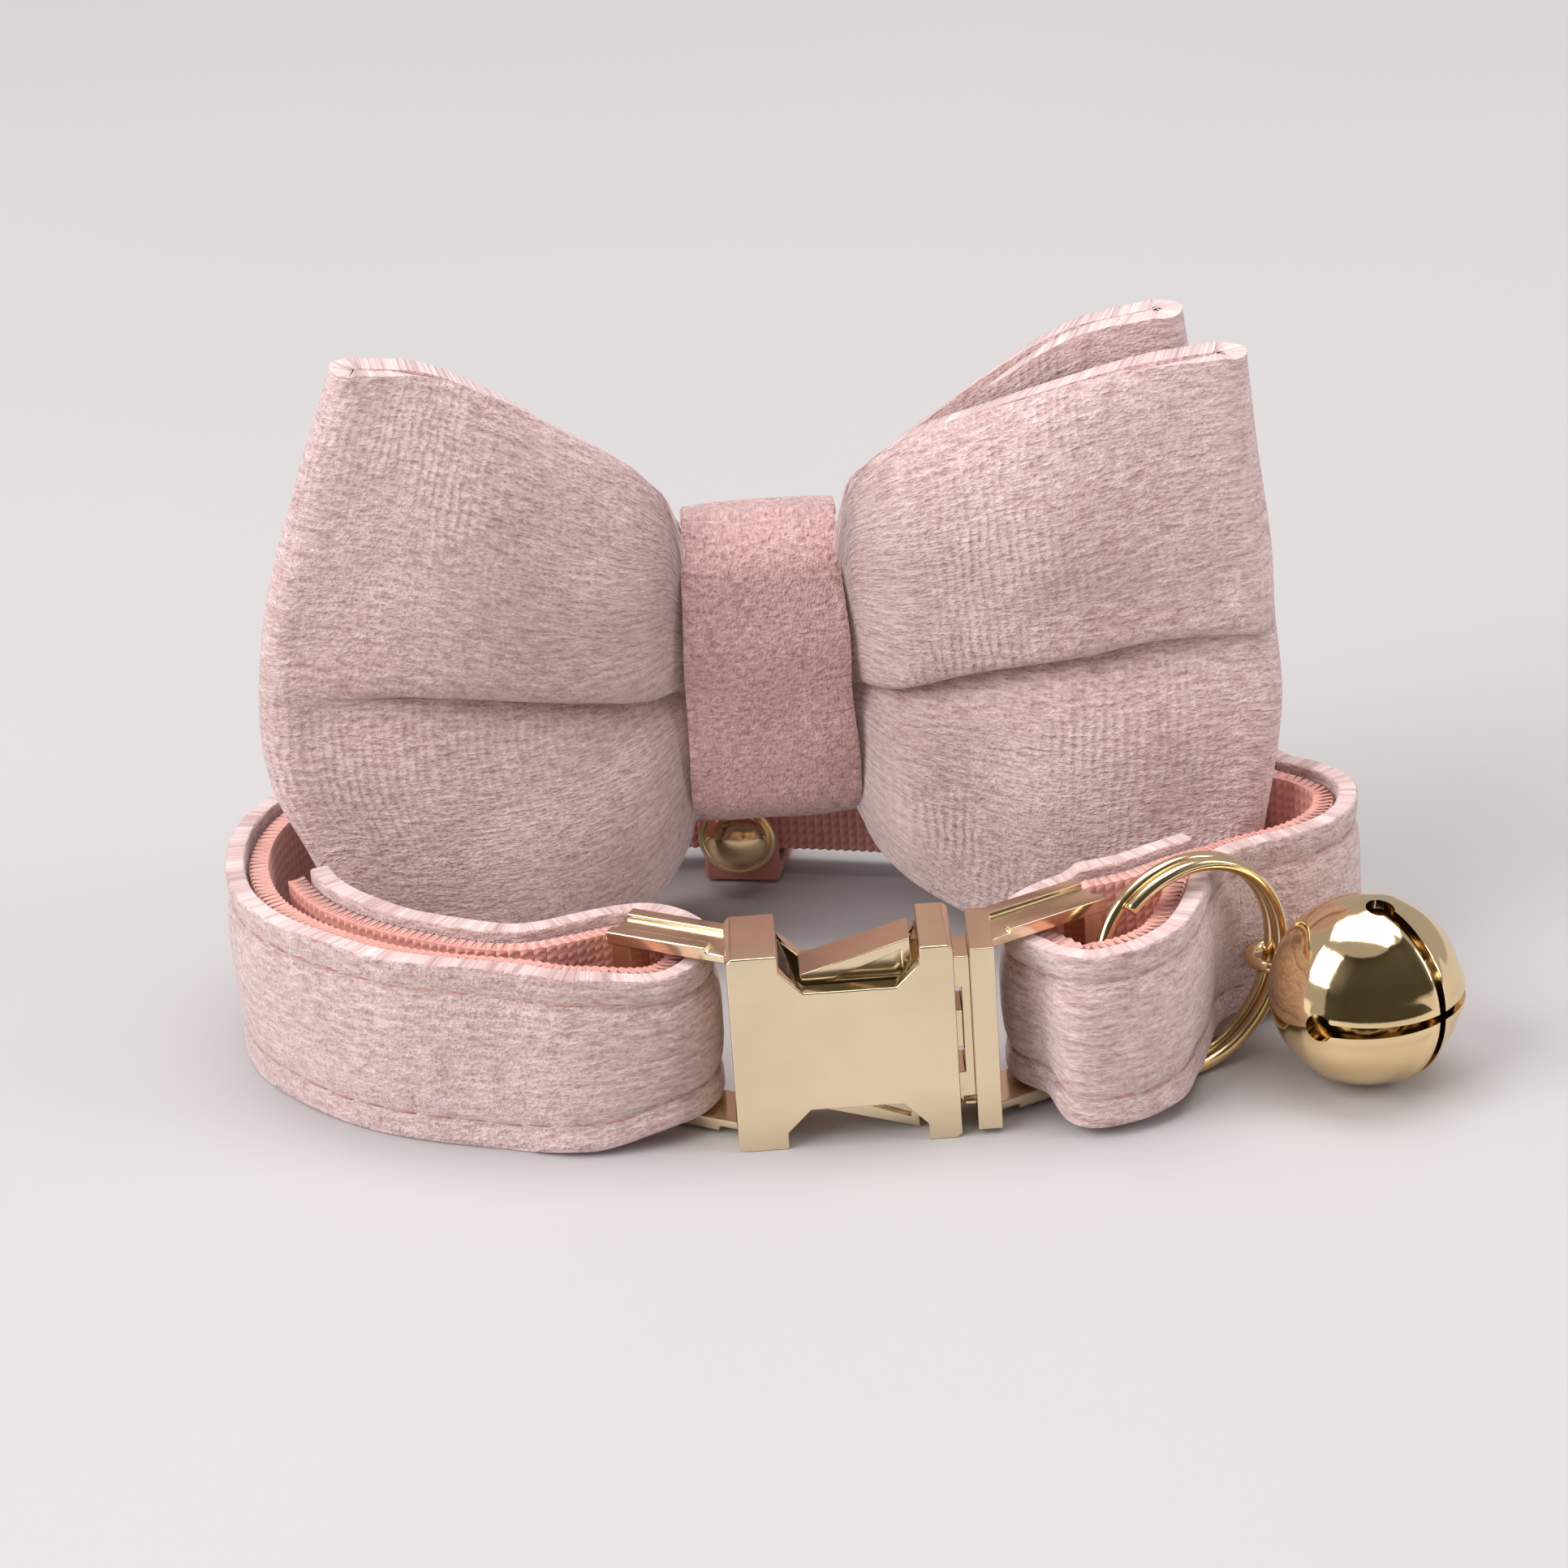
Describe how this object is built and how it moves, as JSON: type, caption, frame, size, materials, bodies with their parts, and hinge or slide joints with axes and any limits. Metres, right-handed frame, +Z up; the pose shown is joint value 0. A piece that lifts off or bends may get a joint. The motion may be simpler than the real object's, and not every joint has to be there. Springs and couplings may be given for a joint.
{
  "type": "pet bow tie collar",
  "caption": "Small pet collar of velvet on webbing with a curved metal side-release buckle, a jingle bell on a split ring and a velvet bow tie on a snap keeper.",
  "frame": {"origin": "bottom centre of the whole collar, on the surface that it rests on", "axes": "+Z up, +Y away from the buckle towards the bow, +X along the buckle from its body to its plug"},
  "size_m": [0.0776, 0.0468, 0.0447],
  "materials": {
    "velvet": "soft dusty pink velvet",
    "webbing": "ribbed salmon nylon webbing",
    "gold": "polished pale gold plate"
  },
  "bodies": {
    "root": {"strap_velvet": "velvet", "strap_webbing": "webbing", "buckle_body": "gold", "buckle_plug": "gold", "split_ring": "gold", "bell": "gold", "bow_front_sleeve": "velvet", "bow_back_sleeve": "velvet", "knot_wrap": "velvet", "bow_keeper": "webbing", "snap_cap": "gold"}
  },
  "joints": []
}
